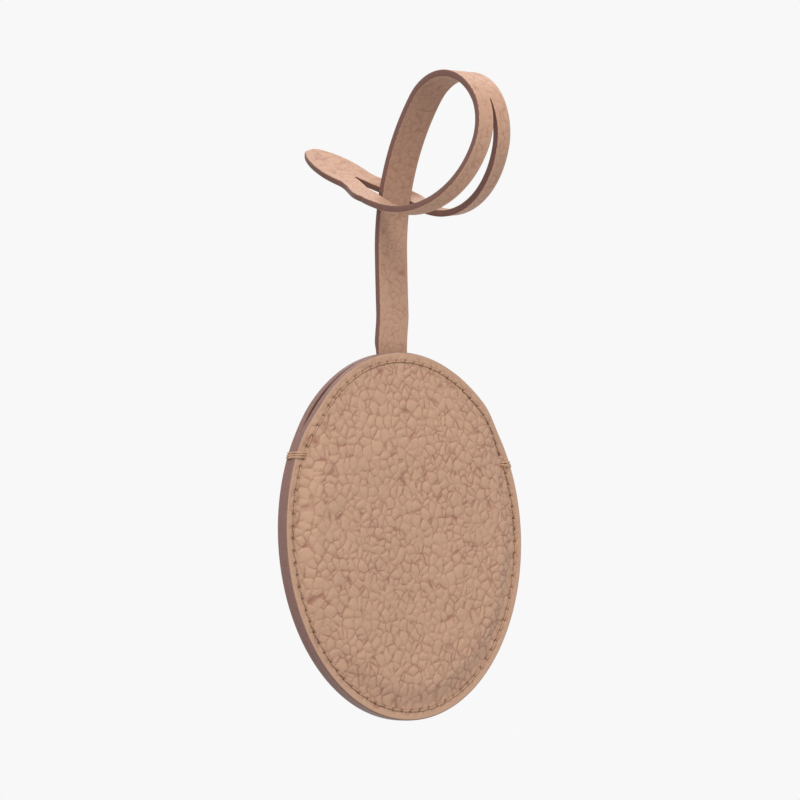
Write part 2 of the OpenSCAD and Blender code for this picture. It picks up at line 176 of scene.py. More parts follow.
def addNode(tree, kind, place, **values):
    node = tree.nodes.new(kind)
    node.location = place
    for key, value in values.items():
        setattr(node, key, value)
    return node


def setSocket(node, name, value):
    node.inputs[name].default_value = value


def wire(tree, source, output, target, entry):
    tree.links.new(source.outputs[output], target.inputs[entry])


def newGroup(name, entries, results):
    tree = bpy.data.node_groups.new(name, "ShaderNodeTree")
    for label, kind, value in entries:
        socket = tree.interface.new_socket(name=label, in_out="INPUT", socket_type=kind)
        if value is not None:
            socket.default_value = value
    for label, kind in results:
        tree.interface.new_socket(name=label, in_out="OUTPUT", socket_type=kind)
    return tree, addNode(tree, "NodeGroupInput", (-900, 0)), addNode(tree, "NodeGroupOutput", (900, 0))


def newMaterial(name):
    material = bpy.data.materials.new(name)
    material.use_nodes = True
    tree = material.node_tree
    tree.nodes.clear()
    out = addNode(tree, "ShaderNodeOutputMaterial", (900, 0))
    shader = addNode(tree, "ShaderNodeBsdfPrincipled", (600, 0))
    wire(tree, shader, "BSDF", out, "Surface")
    return material, tree, shader


def addMath(tree, operation, place, first, second):
    node = addNode(tree, "ShaderNodeMath", place, operation=operation)
    for entry, value in ((0, first), (1, second)):
        if isinstance(value, tuple):
            tree.links.new(value[0].outputs[value[1]], node.inputs[entry])
        else:
            node.inputs[entry].default_value = value
    return node


def addMix(tree, place, factor, first, second, blendType="MIX"):
    node = addNode(tree, "ShaderNodeMix", place, data_type="RGBA", blend_type=blendType)
    for entry, value in ((0, factor), (6, first), (7, second)):
        if isinstance(value, tuple) and hasattr(value[0], "outputs"):
            tree.links.new(value[0].outputs[value[1]], node.inputs[entry])
        else:
            node.inputs[entry].default_value = value
    return node


def fromByte(red, green, blue):
    def linear(c):
        c = c / 255
        return c / 12.92 if c <= 0.04045 else ((c + 0.055) / 1.055) ** 2.4

    return (linear(red), linear(green), linear(blue), 1.0)


# leather look


def makeGrainGroup():
    tree, entry, result = newGroup(
        "leatherGrain",
        [
            ("Place", "NodeSocketVector", None),
            ("Crease Shade And Mottle", "NodeSocketFloat", 0.0),
            ("HoleAndLoopShade", "NodeSocketFloat", 0.0),
            ("Top Colour", "NodeSocketColor", (0.5, 0.3, 0.2, 1)),
            ("Crease Shade And Mottle Colour", "NodeSocketColor", (0.35, 0.2, 0.13, 1)),
            ("Pore Scale", "NodeSocketFloat", 3.0),
        ],
        [("Colour", "NodeSocketColor"), ("Roughness", "NodeSocketFloat"), ("Height", "NodeSocketFloat")],
    )
    cloud = addNode(tree, "ShaderNodeTexNoise", (-650, 300))
    setSocket(cloud, "Scale", 0.11)
    setSocket(cloud, "Detail", 3.0)
    wire(tree, entry, "Place", cloud, "Vector")
    speck = addNode(tree, "ShaderNodeTexNoise", (-650, 50))
    setSocket(speck, "Scale", 1.9)
    setSocket(speck, "Detail", 4.0)
    wire(tree, entry, "Place", speck, "Vector")
    pore = addNode(tree, "ShaderNodeTexVoronoi", (-650, -200), feature="DISTANCE_TO_EDGE")
    wire(tree, entry, "Pore Scale", pore, "Scale")
    wire(tree, entry, "Place", pore, "Vector")
    poreLine = addNode(tree, "ShaderNodeMapRange", (-450, -200))
    setSocket(poreLine, "From Min", 0.0)
    setSocket(poreLine, "From Max", 0.16)
    wire(tree, pore, "Distance", poreLine, "Value")

    cloudTone = addNode(tree, "ShaderNodeMapRange", (-450, 300))
    setSocket(cloudTone, "From Min", 0.3)
    setSocket(cloudTone, "From Max", 0.7)
    setSocket(cloudTone, "To Min", 0.965)
    setSocket(cloudTone, "To Max", 1.03)
    wire(tree, cloud, "Fac", cloudTone, "Value")
    speckTone = addNode(tree, "ShaderNodeMapRange", (-450, 50))
    setSocket(speckTone, "From Min", 0.3)
    setSocket(speckTone, "From Max", 0.7)
    setSocket(speckTone, "To Min", 0.955)
    setSocket(speckTone, "To Max", 1.03)
    wire(tree, speck, "Fac", speckTone, "Value")
    tone = addMath(tree, "MULTIPLY", (-250, 200), (cloudTone, "Result"), (speckTone, "Result"))

    # painted shade: towards the second colour in the grooves between pebbles; the lining sends a random mottle
    # through the same input
    creased = addMix(tree, (-100, 100), (entry, "Crease Shade And Mottle"), (entry, "Top Colour"), (entry, "Crease Shade And Mottle Colour"))
    toned = addNode(tree, "ShaderNodeVectorMath", (100, 100), operation="SCALE")
    tree.links.new(creased.outputs[2], toned.inputs[0])
    wire(tree, tone, 0, toned, "Scale")
    # painted shade: needle punctures and the inner side of the strap go towards this deep brown
    holed = addMix(tree, (300, 100), (entry, "HoleAndLoopShade"), (toned, 0), fromByte(92, 62, 48))
    tree.links.new(holed.outputs[2], result.inputs["Colour"])

    rough = addMath(tree, "MULTIPLY_ADD", (300, -80), (speck, "Fac"), 0.16)
    rough.inputs[2].default_value = 0.44
    wire(tree, rough, 0, result, "Roughness")
    height = addMath(tree, "MULTIPLY_ADD", (300, -260), (poreLine, "Result"), 0.6)
    wire(tree, speck, "Fac", height, 2)
    wire(tree, height, 0, result, "Height")
    return tree


def makeInkGroup():
    tree, entry, result = newGroup(
        "edgeInk",
        [
            ("Place", "NodeSocketVector", None),
            ("Ink", "NodeSocketFloat", 0.0),
            ("Ink Colour", "NodeSocketColor", (0.2, 0.12, 0.1, 1)),
        ],
        [("Mask", "NodeSocketFloat"), ("Colour", "NodeSocketColor"), ("Roughness", "NodeSocketFloat")],
    )
    ragged = addNode(tree, "ShaderNodeTexNoise", (-650, 0))
    setSocket(ragged, "Scale", 1.1)
    setSocket(ragged, "Detail", 3.0)
    wire(tree, entry, "Place", ragged, "Vector")
    shift = addMath(tree, "MULTIPLY_ADD", (-450, 0), (ragged, "Fac"), 0.5)
    shift.inputs[2].default_value = -0.25
    raised = addMath(tree, "ADD", (-250, 0), (entry, "Ink"), (shift, 0))
    mask = addNode(tree, "ShaderNodeMapRange", (-50, 0), interpolation_type="SMOOTHSTEP")
    setSocket(mask, "From Min", 0.42)
    setSocket(mask, "From Max", 0.62)
    wire(tree, raised, 0, mask, "Value")
    wire(tree, mask, "Result", result, "Mask")
    tone = addNode(tree, "ShaderNodeMapRange", (-50, -250))
    setSocket(tone, "From Min", 0.3)
    setSocket(tone, "From Max", 0.7)
    setSocket(tone, "To Min", 0.9)
    setSocket(tone, "To Max", 1.1)
    wire(tree, ragged, "Fac", tone, "Value")
    coloured = addNode(tree, "ShaderNodeVectorMath", (200, -150), operation="SCALE")
    wire(tree, entry, "Ink Colour", coloured, 0)
    wire(tree, tone, "Result", coloured, "Scale")
    wire(tree, coloured, 0, result, "Colour")
    rough = addMath(tree, "MULTIPLY_ADD", (200, -350), (ragged, "Fac"), 0.15)
    rough.inputs[2].default_value = 0.3
    wire(tree, rough, 0, result, "Roughness")
    return tree


grainGroup = makeGrainGroup()
inkGroup = makeInkGroup()


def makeLeather(name, look):
    material, tree, shader = newMaterial(name)
    place = addNode(tree, "ShaderNodeAttribute", (-900, 200), attribute_name="leatherAt")
    creaseShadeAndMottle = addNode(tree, "ShaderNodeAttribute", (-900, 0), attribute_name="creaseShadeAndMottle")
    holeAndLoopShade = addNode(tree, "ShaderNodeAttribute", (-900, -200), attribute_name="holeAndLoopShade")
    ink = addNode(tree, "ShaderNodeAttribute", (-900, -400), attribute_name="edgeInk")
    grain = addNode(tree, "ShaderNodeGroup", (-500, 100), node_tree=grainGroup)
    wire(tree, place, "Vector", grain, "Place")
    wire(tree, creaseShadeAndMottle, "Fac", grain, "Crease Shade And Mottle")
    wire(tree, holeAndLoopShade, "Fac", grain, "HoleAndLoopShade")
    setSocket(grain, "Top Colour", look["top"])
    setSocket(grain, "Crease Shade And Mottle Colour", look["creaseShadeAndMottle"])
    setSocket(grain, "Pore Scale", look["poreScale"])
    edge = addNode(tree, "ShaderNodeGroup", (-500, -250), node_tree=inkGroup)
    wire(tree, place, "Vector", edge, "Place")
    wire(tree, ink, "Fac", edge, "Ink")
    setSocket(edge, "Ink Colour", look["ink"])
    colour = addMix(tree, (-150, 100), (edge, "Mask"), (grain, "Colour"), (edge, "Colour"))
    tree.links.new(colour.outputs[2], shader.inputs["Base Color"])
    rough = addNode(tree, "ShaderNodeMix", (-150, -100), data_type="FLOAT")
    wire(tree, edge, "Mask", rough, 0)
    wire(tree, grain, "Roughness", rough, 2)
    wire(tree, edge, "Roughness", rough, 3)
    wire(tree, rough, 0, shader, "Roughness")
    plain = addMath(tree, "SUBTRACT", (-150, -300), 1.0, (edge, "Mask"))
    height = addMath(tree, "MULTIPLY", (50, -300), (grain, "Height"), (plain, 0))
    bump = addNode(tree, "ShaderNodeBump", (300, -300))
    setSocket(bump, "Strength", look["bump"])
    setSocket(bump, "Distance", 0.00012)
    wire(tree, height, 0, bump, "Height")
    wire(tree, bump, "Normal", shader, "Normal")
    setSocket(shader, "Specular IOR Level", look["shine"])
    setSocket(shader, "Sheen Weight", 0.05)
    setSocket(shader, "Sheen Roughness", 0.5)
    return material


faceLook = {
    "top": fromByte(196, 157, 131),
    # the second colour is painted shade for the grooves between pebbles
    "creaseShadeAndMottle": fromByte(158, 110, 91),
    "ink": fromByte(138, 104, 95),
    "poreScale": 1.6,
    "bump": 0.35,
    "shine": 0.32,
}
# strap: the second colour is painted shade for the grooves; lining: it is a random mottle tone
strapLook = dict(faceLook, top=fromByte(196, 155, 130), creaseShadeAndMottle=fromByte(171, 125, 105), ink=fromByte(120, 84, 74))
liningLook = dict(faceLook, top=fromByte(172, 134, 108), creaseShadeAndMottle=fromByte(150, 112, 88), bump=0.2, shine=0.2)
faceLeather = makeLeather("tannedFaceLeather", faceLook)
strapLeather = makeLeather("strapLeather", strapLook)
liningLeather = makeLeather("liningLeather", liningLook)
print("leather materials made")


def makeThread():
    material, tree, shader = newMaterial("waxedThread")
    place = addNode(tree, "ShaderNodeAttribute", (-700, 0), attribute_name="leatherAt")
    fibre = addNode(tree, "ShaderNodeTexNoise", (-500, 0))
    setSocket(fibre, "Scale", 5.0)
    setSocket(fibre, "Detail", 3.0)
    wire(tree, place, "Vector", fibre, "Vector")
    ramp = addNode(tree, "ShaderNodeMapRange", (-300, 0))
    setSocket(ramp, "From Min", 0.3)
    setSocket(ramp, "From Max", 0.7)
    wire(tree, fibre, "Fac", ramp, "Value")
    colour = addMix(tree, (0, 100), (ramp, "Result"), fromByte(168, 130, 104), fromByte(206, 170, 142))
    tree.links.new(colour.outputs[2], shader.inputs["Base Color"])
    bump = addNode(tree, "ShaderNodeBump", (200, -200))
    setSocket(bump, "Strength", 0.4)
    setSocket(bump, "Distance", 0.00005)
    wire(tree, fibre, "Fac", bump, "Height")
    wire(tree, bump, "Normal", shader, "Normal")
    setSocket(shader, "Roughness", 0.6)
    setSocket(shader, "Specular IOR Level", 0.3)
    return material


waxedThread = makeThread()

# mesh helpers


def newLeatherMesh():
    bm = bmesh.new()
    layers = {
        "place": bm.verts.layers.float_vector.new("leatherAt"),
        "outward": bm.verts.layers.float_vector.new("outward"),
        "creaseShadeAndMottle": bm.verts.layers.float.new("creaseShadeAndMottle"),
        "holeAndLoopShade": bm.verts.layers.float.new("holeAndLoopShade"),
        "ink": bm.verts.layers.float.new("edgeInk"),
    }
    return bm, layers


def finishPiece(bm, name, material):
    bmesh.ops.transform(bm, matrix=seat, verts=bm.verts[:])
    bmesh.ops.recalc_face_normals(bm, faces=bm.faces[:])
    for face in bm.faces:
        face.smooth = True
    openEdges = sum(1 for edge in bm.edges if not edge.is_manifold)
    mesh = bpy.data.meshes.new(name)
    bm.to_mesh(mesh)
    triangles = sum(len(face.verts) - 2 for face in bm.faces)
    bm.free()
    if mesh.attributes.get("outward"):
        mesh.attributes.remove(mesh.attributes["outward"])
    mesh.materials.append(material)
    piece = bpy.data.objects.new(name, mesh)
    bpy.context.scene.collection.objects.link(piece)
    print("piece", name, "triangles", triangles, "open edges", openEdges)
    return piece


def growLoop(bm, edges, move):
    # a new loop of wall from these edges, each new point placed by move(vert)
    made = bmesh.ops.extrude_edge_only(bm, edges=edges)["geom"]
    verts = [g for g in made if isinstance(g, bmesh.types.BMVert)]
    known = set(verts)
    loop = [g for g in made if isinstance(g, bmesh.types.BMEdge) and g.verts[0] in known and g.verts[1] in known]
    for vert in verts:
        move(vert)
    return loop


def roundGrid(bm, columns, rows, halfWidth, halfHeight):
    made = bmesh.ops.create_grid(bm, x_segments=columns, y_segments=rows, size=1.0)["verts"]
    for vert in made:
        p, q = vert.co.x, vert.co.y
        vert.co = (halfWidth * p * math.sqrt(1 - q * q / 2), 0, halfHeight * q * math.sqrt(1 - p * p / 2))
    return made


grainShape = {"pebble": 2.45, "depth": 0.34, "split": 0.3}


def cellEdge(spot):
    # how far a spot lies from the nearest border of its cell
    gaps, centres = noise.voronoi(spot)
    return (gaps[1] ** 2 - gaps[0] ** 2) / (2 * max((centres[1] - centres[0]).length, 0.05))


def wander(spot):
    # a repeatable sideways shift; noise.noise_vector gives other values in each run
    return Vector((noise.noise(spot + Vector((9.3, 4.7, 0))), noise.noise(spot - Vector((6.1, 2.9, 0))), 0))


def pebbleAt(u, v, seed, size):
    # height of the pebble and painted shade for the groove around it, both 0 to 1, at a place on the hide
    p = Vector((u / size, v / size, seed))
    broad = wander(p * 0.5) * 0.22
    fine = wander(p * 2.6) * 0.1
    q = Vector((p.x + broad.x + fine.x, p.y + broad.y + fine.y, seed))
    edge = cellEdge(q)
    keep = soft(0.62 + 0.9 * noise.noise(p * 1.3 + Vector((7, 3, 0))))
    some = soft(0.45 + 1.5 * noise.noise(p * 0.8 - Vector((4, 9, 0)))) * grainShape["split"]
    splitEdge = cellEdge(Vector((q.x * 1.9 + 11, q.y * 1.9, seed + 5)))
    height = math.sqrt(soft(edge / 0.46)) * (1 - 0.3 * some * (1 - soft(splitEdge / 0.3)))
    height = 1 - (1 - height) * (0.45 + 0.55 * keep) + 0.12 * noise.noise(p * 0.9 + Vector((1, 5, 0)))
    # painted shade along the grooves between cells
    paintedGrooveShade = (1 - soft(edge / 0.085)) * (0.3 + 0.7 * keep)
    return height, paintedGrooveShade


# stitch places

stitching = {"pitch": 2.95, "thread": 0.21, "slant": 0.1, "tackHeight": 18.35}
seamA = pouch["halfWidth"] - pouch["seamInset"]
seamB = pouch["halfHeight"] - pouch["seamInset"]


def seamPlaces(fromAngle, toAngle):
    # evenly spaced holes along the oval stitch line
    fine = 1500
    points = []
    for i in range(fine + 1):
        t = math.radians(fromAngle + (toAngle - fromAngle) * i / fine)
        points.append(Vector((seamA * math.cos(t), 0, seamB * math.sin(t))))
    lengths = [0.0]
    for i in range(fine):
        lengths.append(lengths[-1] + (points[i + 1] - points[i]).length)
    count = round(lengths[-1] / stitching["pitch"])
    places, k = [], 0
    for i in range(count + 1):
        want = lengths[-1] * i / count
        while k < fine - 1 and lengths[k + 1] < want:
            k += 1
        share = (want - lengths[k]) / (lengths[k + 1] - lengths[k])
        places.append(points[k].lerp(points[k + 1], min(max(share, 0.0), 1.0)))
    return places


tackAngle = math.degrees(math.asin((stitching["tackHeight"] - 0.6) / seamB))
mouthAngle = math.degrees(math.asin((pouch["mouthHeight"] + 0.7) / seamB))
seamHoles = seamPlaces(180 - tackAngle, 360 + tackAngle)
lipHoles = seamPlaces(mouthAngle, 180 - mouthAngle)
holeTree = kdtree.KDTree(len(seamHoles) + len(lipHoles))
for number, place in enumerate(seamHoles + lipHoles):
    holeTree.insert(place, number)
holeTree.balance()


def seamDip(x, z):
    # (depth of the stitch channel, painted shade in a needle puncture) at x, z
    off = rimDistance(x, z) - pouch["seamInset"]
    if abs(off) > 2.2:
        return 0.0, 0.0
    channel = 0.1 * math.exp(-((off / 0.7) ** 2))
    near = holeTree.find(Vector((x, 0, z)))[2]
    holeAndLoopShade = math.exp(-((near / 0.3) ** 2))
    return channel + 0.34 * holeAndLoopShade, math.exp(-((near / 0.42) ** 2))


# pouch leathers


edgeShut = 0.08  # share of the inner rounding left where the two edges are sewn together


def makePouchLeather(side, columns, rows, seed):
    bm, layers = newLeatherMesh()
    r, wall = pouch["edgeRound"], pouch["wall"]
    verts = roundGrid(bm, columns, rows, pouch["halfWidth"] - r, pouch["halfHeight"] - r)
    for vert in verts:
        x, z = vert.co.x, vert.co.z
        rim = rimDistance(x, z)
        dip, holeAndLoopShade = seamDip(x, z)
        height, paintedGrooveShade = pebbleAt(x, z, seed, grainShape["pebble"])
        calm = soft((rim - 0.45) / 1.2) * (0.65 + 0.35 * soft((rim - 2.0) / 2.2))
        sink = grainShape["depth"] * (1 - height) * calm + dip
        vert.co.y = side * (crownAt(side, x, z) + wall - sink)
        # painted shade in the grooves, calmed near the rim
        vert[layers["creaseShadeAndMottle"]] = paintedGrooveShade * calm
        # painted shade in the needle punctures
        vert[layers["holeAndLoopShade"]] = holeAndLoopShade
        vert[layers["place"]] = (x, z, seed)
    edges = [edge for edge in bm.edges if edge.is_boundary]
    for edge in edges:
        for vert in edge.verts:
            vert[layers["outward"]] = outwardAt(vert.co.x, vert.co.z)
            vert[layers["creaseShadeAndMottle"]] = 0.0
    # rounded, painted edge, then a short return to the tray that holds the lining
    steps = []
    for k in range(1, 6):
        turn = math.radians(18 * k)
        steps.append((r * (math.sin(turn) - math.sin(turn - math.radians(18))),
                      r * (math.cos(turn - math.radians(18)) - math.cos(turn)), min(1.0, k / 3)))
    straight = wall - 2 * r
    steps += [(0.03, straight / 2, 1.0), (-0.03, straight / 2, 1.0)]
    for k in range(5, 0, -1):
        turn = math.radians(18 * k)
        steps.append((-r * (math.sin(turn) - math.sin(turn - math.radians(18))),
                      r * (math.cos(turn - math.radians(18)) - math.cos(turn)), 1.0))
    steps += [(-(pouch["returnWidth"] - r), 0.0, 0.6), (0.0, -(pouch["lining"] + pouch["plyGap"]), 0.0)]
    innerRound = range(7, 12)  # steps over the edge that faces the other leather
    for number, (out, down, ink) in enumerate(steps):

        def move(vert):
            # sewn together, the two edges are burnished into one band; above the mouth they part
            apart = edgeShut + (1 - edgeShut) * soft((vert.co.z - stitching["tackHeight"]) / 5)
            reach = out
            if number in innerRound:
                reach = out * apart
            elif number == innerRound.stop:
                reach = -(pouch["returnWidth"] - r * apart)
            vert.co += Vector(vert[layers["outward"]]) * reach - Vector((0, side * down, 0))
            vert[layers["ink"]] = ink
            vert[layers["place"]] = (vert.co.x, vert.co.z, seed + vert.co.y)

        edges = growLoop(bm, edges, move)
    # flesh side
    inset = pouch["returnWidth"] + 0.6
    inner = roundGrid(bm, 54, 62, pouch["halfWidth"] - inset, pouch["halfHeight"] - inset)
    strapHalf = 5.0
    for vert in inner:
        x, z = vert.co.x, vert.co.z
        deep = pouch["lining"] + pouch["plyGap"]
        if side > 0 and abs(x) < strapHalf + 1 and z > pouch["halfHeight"] - 15.5:
            deep += 0.5  # room for the pared strap end
        vert.co.y = side * (crownAt(side, x, z) + deep)
        vert[layers["place"]] = (x, z, seed + 3)
    innerSet = set(inner)
    innerEdges = [e for e in bm.edges if e.is_boundary and e.verts[0] in innerSet]
    bmesh.ops.bridge_loops(bm, edges=edges + innerEdges)
    return bm


frontBm = makePouchLeather(-1, 256, 298, 2.0)
frontLeather = finishPiece(frontBm, "frontLeather", faceLeather)
backBm = makePouchLeather(1, 230, 268, 9.0)
backLeather = finishPiece(backBm, "backLeather", faceLeather)
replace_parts(frontLeather, "front_panel", "mouth_flap")
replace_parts(backLeather, "back_panel")


def makeLining(name, side, seed):
    bm, layers = newLeatherMesh()
    inset = pouch["returnWidth"] + 0.05
    verts = roundGrid(bm, 96, 112, pouch["halfWidth"] - inset, pouch["halfHeight"] - inset)
    twin = bmesh.ops.duplicate(bm, geom=bm.verts[:] + bm.edges[:] + bm.faces[:])["geom"]
    twinVerts = [g for g in twin if isinstance(g, bmesh.types.BMVert)]
    for group, depth in ((verts, 0.0), (twinVerts, pouch["lining"])):
        for vert in group:
            x, z = vert.co.x, vert.co.z
            vert.co.y = side * (crownAt(side, x, z) + depth)
            vert[layers["place"]] = (x, z, seed)
            vert[layers["creaseShadeAndMottle"]] = 0.25 * soft(0.5 + noise.noise(Vector((x, z, seed)) * 0.5))
    bmesh.ops.bridge_loops(bm, edges=[edge for edge in bm.edges if edge.is_boundary])
    return finishPiece(bm, name, liningLeather)


frontLining = makeLining("frontLining", -1, 4.0)
backLining = makeLining("backLining", 1, 6.0)
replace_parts(frontLining, "front_lining", "mouth_flap_lining")
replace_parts(backLining, "back_lining")

# the front can open above the thread tacks; here its pieces are only baked in place, while the back pieces ride the
# pouch body
for piece in (frontLeather, frontLining):
    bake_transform(piece)
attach(backLeather, "pouch")
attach(backLining, "pouch")
print("pouch leathers made")

# thread


def threadAlong(bm, path, radii, twist, seed):
    # a two-ply thread through these points
    small = bmesh.new()
    places = small.verts.layers.float_vector.new("leatherAt")
    ring = bmesh.ops.create_circle(small, cap_ends=True, segments=8, radius=1.0)["verts"]
    for vert in ring:
        turn = math.atan2(vert.co.y, vert.co.x)
        vert.co *= 1 + 0.16 * math.cos(2 * turn)
    edges = small.edges[:]
    last = None
    for k, point in enumerate(path):
        ahead = path[min(k + 1, len(path) - 1)] - path[max(k - 1, 0)]
        turned = ahead.to_track_quat("Z", "Y").to_matrix().to_4x4()
        stand = Matrix.Translation(point) @ turned @ Matrix.Rotation(twist * k, 4, "Z") @ Matrix.Scale(radii[k], 4)
        if last is None:
            bmesh.ops.transform(small, matrix=stand, verts=ring)
        else:
            made = bmesh.ops.extrude_edge_only(small, edges=edges)["geom"]
            ring = [g for g in made if isinstance(g, bmesh.types.BMVert)]
            known = set(ring)
            edges = [g for g in made if isinstance(g, bmesh.types.BMEdge) and set(g.verts) <= known]
            bmesh.ops.transform(small, matrix=stand @ last.inverted(), verts=ring)
        last = stand
    bmesh.ops.contextual_create(small, geom=edges)
    for vert in small.verts:
        vert[places] = (vert.co.x, vert.co.z, vert.co.y + seed)
    scratch = bpy.data.meshes.new("scratch")
    small.to_mesh(scratch)
    small.free()
    bm.from_mesh(scratch)
    bpy.data.meshes.remove(scratch)


def makeStitches(name, side, holes, seed):
    bm, layers = newLeatherMesh()
    chance = random.Random(seed)
    for number in range(len(holes) - 1):
        first, second = holes[number], holes[number + 1]
        along = (second - first).normalized()
        across = Vector((along.z, 0, -along.x))
        lean = across * stitching["slant"] * (1 + 0.5 * (chance.random() - 0.5))
        path, radii = [], []
        for share, lift, width in ((0.02, -0.3, 0.75), (0.1, -0.02, 0.95), (0.25, 0.13, 1.0), (0.5, 0.17, 1.02),
                                   (0.75, 0.13, 1.0), (0.9, -0.02, 0.95), (0.98, -0.3, 0.75)):
            spot = first.lerp(second, share) + lean * (1 - 2 * share)
            surface = crownAt(side, spot.x, spot.z) + pouch["wall"] - 0.1
            spot.y = side * (surface + lift)
            path.append(spot)
            radii.append(stitching["thread"] * width)
        threadAlong(bm, path, radii, 0.75 * side, seed)
    return finishPiece(bm, name, waxedThread)


frontStitches = makeStitches("frontSeamStitches", -1, seamHoles, 3)
backStitches = makeStitches("backSeamStitches", 1, seamHoles, 5)
lipStitches = makeStitches("lipStitches", -1, lipHoles, 7)
backLipStitches = makeStitches("backLipStitches", 1, lipHoles, 8)
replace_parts(frontStitches, "seam_stitches_front")
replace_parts(backStitches, "seam_stitches_back")
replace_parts(lipStitches, "flap_stitches")
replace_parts(backLipStitches, "back_rim_stitches")
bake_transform(lipStitches)
for piece in (frontStitches, backStitches, backLipStitches):
    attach(piece, "pouch")


def smoothPath(points, perSpan):
    # Catmull-Rom through the points
    line = []
    for i in range(len(points) - 1):
        p0, p1 = points[max(i - 1, 0)], points[i]
        p2, p3 = points[i + 1], points[min(i + 2, len(points) - 1)]
        for k in range(perSpan):
            t = k / perSpan
            line.append(0.5 * (2 * p1 + (p2 - p0) * t + (2 * p0 - 5 * p1 + 4 * p2 - p3) * t * t
                               + (3 * p1 - p0 - 3 * p2 + p3) * t ** 3))
    return line + [points[-1]]


tack = {"strands": (-0.62, -0.08, 0.5), "thread": 0.27, "reach": 3.0}


def makeTack(name, hand, rise, seed):
    bm, layers = newLeatherMesh()
    chance = random.Random(seed)
    wall = pouch["wall"]
    for strand in tack["strands"]:
        z = stitching["tackHeight"] + rise + strand
        edge = pouch["halfWidth"] * math.sqrt(1 - (z / pouch["halfHeight"]) ** 2)
        lean = 0.35 * (chance.random() - 0.5)
        reach = tack["reach"] + 0.3 * (chance.random() - 0.5)
        outline = [
            (reach, -wall + 0.25), (reach - 0.15, -wall - 0.1), (reach - 0.7, -wall - 0.3), (1.6, -wall - 0.27),
            (0.5, -wall - 0.16), (-0.16, -wall * 0.72), (-0.3, 0.0), (-0.16, wall * 0.72), (0.5, wall + 0.16),
            (1.6, wall + 0.27), (reach - 0.7, wall + 0.3), (reach - 0.15, wall + 0.1), (reach, wall - 0.25),
        ]
        points = [Vector((hand * (edge - inward), y, z + lean * (inward / reach) * (1 if y < 0 else -1)))
                  for inward, y in outline]
        path = smoothPath(points, 3)
        threadAlong(bm, path, [tack["thread"]] * len(path), 0.45, seed)
    piece = finishPiece(bm, name, waxedThread)
    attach(piece, "pouch")
    return piece


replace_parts(makeTack("leftThreadTack", -1, 2.3, 21), "bartack_left")
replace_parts(makeTack("rightThreadTack", 1, -0.9, 22), "bartack_right")
print("stitches and tacks made")

# strap

strap = {
    "width": 9.8,
    "thickness": 1.7,
    "round": 0.36,
    "bendLine": (1.5, pouch["halfHeight"] + 1.4),  # y, z where it leaves the pouch
    "insideLength": 15.0,
    "arcs": ((24.0, 2.6), (40.8, 39.8), (20.1, 84.6), (18.5, 74.7), (39.3, 99.0), (31.0, 3.9)),
    "slitStart": 92.0,
    "slitLength": 67.0,
    "spreadRise": 1.45,
    "spreadFall": 2.0,
    "sway": 0.9,
    "legTip": -17.0,
    "tongueDrift": -8.0,
    "tongueRoll": -20.0,
    "legRoll": -10.0,
    "slitCut": 0.3,
    "crossing": 146.7,
    "play": 0.35,
    "tipLength": 11.0,
    "columns": 14,
    "spacing": 0.29,
    "pebble": 2.2,
    "depth": 0.1,
}
strapLength = sum(length for length, turn in strap["arcs"])
slitEnd = strap["slitStart"] + strap["slitLength"]
slitOpen = strap["width"] / 2 + strap["play"] - strap["slitCut"] / 2


def pathStep(state, length, turn):
    y, z, heading = state
    a = math.radians(heading)
    if abs(turn) < 0.001:
        return (y - length * math.sin(a), z + length * math.cos(a), heading)
    r, b = length / math.radians(turn), math.radians(heading + turn)
    return (y + r * (math.cos(b) - math.cos(a)), z + r * (math.sin(b) - math.sin(a)), heading + turn)


def pathAt(s):
    state = (*strap["bendLine"], 0.0)
    if s <= 0:
        return pathStep(state, s, 0)
    for length, turn in strap["arcs"]:
        if s <= length:
            return pathStep(state, s, turn * s / length)
        state = pathStep(state, length, turn)
        s -= length
    return state


def slitSpread(s):
    if s <= strap["slitStart"] or s >= slitEnd:
        return 0.0
    if s < strap["crossing"]:
        share = (s - strap["slitStart"]) / (strap["crossing"] - strap["slitStart"])
        return math.sin(math.pi / 2 * share) ** strap["spreadRise"]
    share = (s - strap["crossing"]) / (slitEnd - strap["crossing"])
    return math.cos(math.pi / 2 * share) ** strap["spreadFall"]


def sidewaysAt(s):
    # how far the strap's middle strays from the loop's plane
    clear = strap["crossing"] + 1.2
    lean = strap["tongueDrift"] * min(max((s - clear) / (strapLength - clear), 0), 1) ** 0.8
    return lean + strap["sway"] * soft(s / 9)


def rollAt(s, hand):
    # degrees that the leather tips about its own length
    past = min(max((s - strap["crossing"]) / (strapLength - strap["crossing"]), 0), 1)
    along = min(max((s - strap["slitStart"]) / (strap["crossing"] - strap["slitStart"]), 0), 1)
    return strap["tongueRoll"] * soft(past / 0.62) + strap["legRoll"] * math.sin(math.pi * along) * hand


def legTipAt(s):
    # degrees that each leg of the slit tips about its own middle, beside the stem
    start = strap["crossing"] - 14
    if s <= start or s >= slitEnd:
        return 0.0
    return strap["legTip"] * math.sin(math.pi * ((s - start) / (slitEnd - start)) ** 1.5) ** 2


def tipShare(s):
    u = (s - (strapLength - strap["tipLength"])) / strap["tipLength"]
    return 1.0 if u <= 0 else math.sqrt(max(0.0, 1 - u * u))


